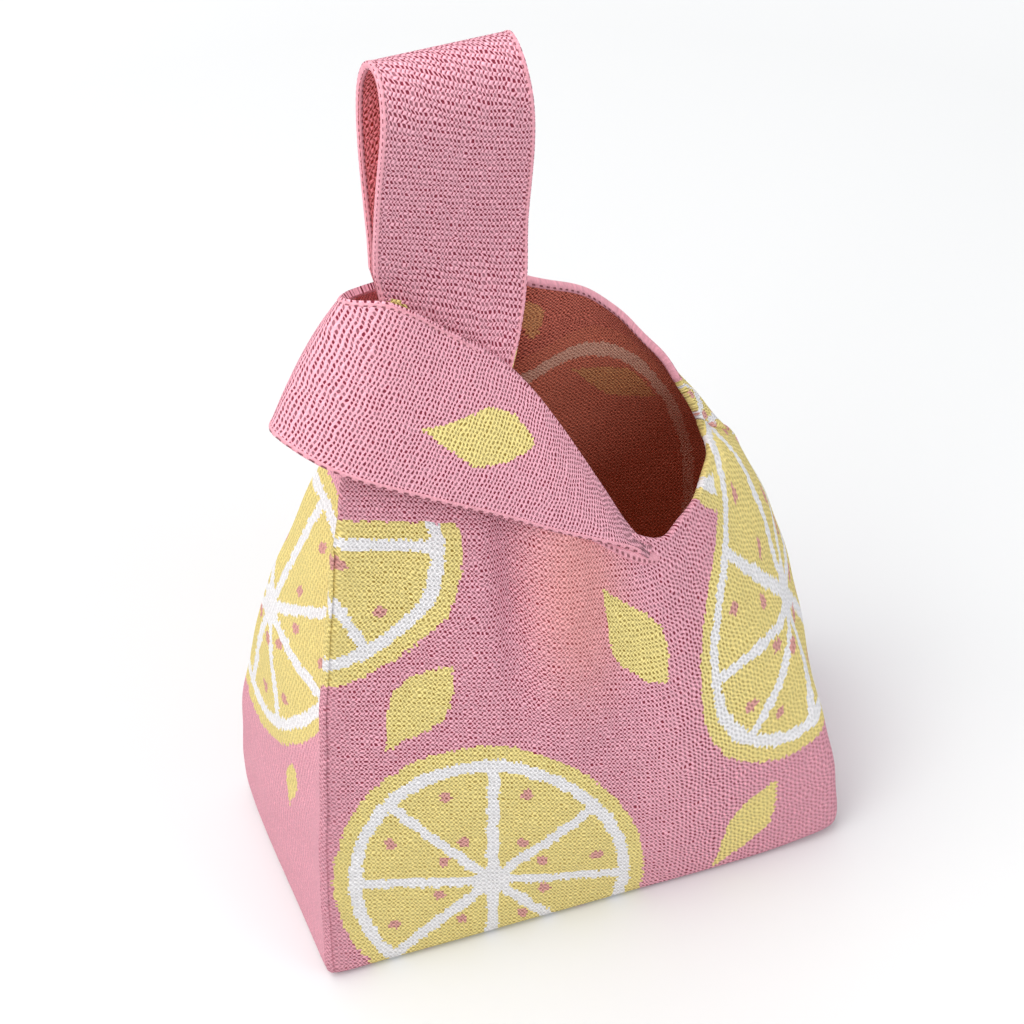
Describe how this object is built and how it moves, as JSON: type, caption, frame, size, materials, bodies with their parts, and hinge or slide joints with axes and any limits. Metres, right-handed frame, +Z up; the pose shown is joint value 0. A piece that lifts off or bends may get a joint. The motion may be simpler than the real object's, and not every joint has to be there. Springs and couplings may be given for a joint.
{
  "type": "knot bag",
  "caption": "Small boxed knitted pouch with a long wrist loop drawn up through a short loop that closes its mouth, citrus slices and leaves in the knit.",
  "frame": {"origin": "on the floor under the middle of the base panel", "axes": "+Z up, -Y out of the front panel, +X towards the open mouth, the long handle to -X"},
  "size_m": [0.2102, 0.1084, 0.351],
  "materials": {
    "patterned_knit": "double-knit cotton jersey, pink ground with yellow and white citrus slices and yellow leaves knitted in",
    "plain_knit": "double-knit cotton jersey strap, plain pink",
    "rolled_hem": "rolled knitted edge, pink, with a row of stitch holes along it",
    "linked_seam": "linked seam in pink yarn"
  },
  "bodies": {
    "bag": {"base_panel": "patterned_knit", "front_panel": "patterned_knit", "back_panel": "patterned_knit", "left_gusset": "patterned_knit", "right_gusset": "patterned_knit", "front_left_seam": "linked_seam", "back_right_seam": "linked_seam", "mouth_hem": "rolled_hem", "left_gusset_hem": "rolled_hem", "long_handle_front_root": "plain_knit", "long_handle_front_seam": "linked_seam", "long_handle_back_root": "plain_knit", "long_handle_back_seam": "linked_seam", "short_handle_front_root": "plain_knit", "short_handle_front_fold": "plain_knit", "short_handle_back_seam": "linked_seam"},
    "long_handle": {"long_handle_loop": "plain_knit", "long_handle_left_hem": "rolled_hem", "long_handle_right_hem": "rolled_hem"},
    "short_handle": {"short_handle_loop": "plain_knit", "short_handle_upper_hem": "rolled_hem", "short_handle_lower_hem": "rolled_hem"}
  },
  "joints": [
    {"name": "long_handle_swing", "type": "hinge", "parent": "bag", "child": "long_handle", "pos_m": [-0.031, 0, 0.276], "axis": [1, 0, 0], "range_deg": [-80, 80]},
    {"name": "short_handle_droop", "type": "hinge", "parent": "bag", "child": "short_handle", "pos_m": [-0.048, 0, 0.2038], "axis": [0, 1, 0], "range_deg": [-20, 0]}
  ]
}
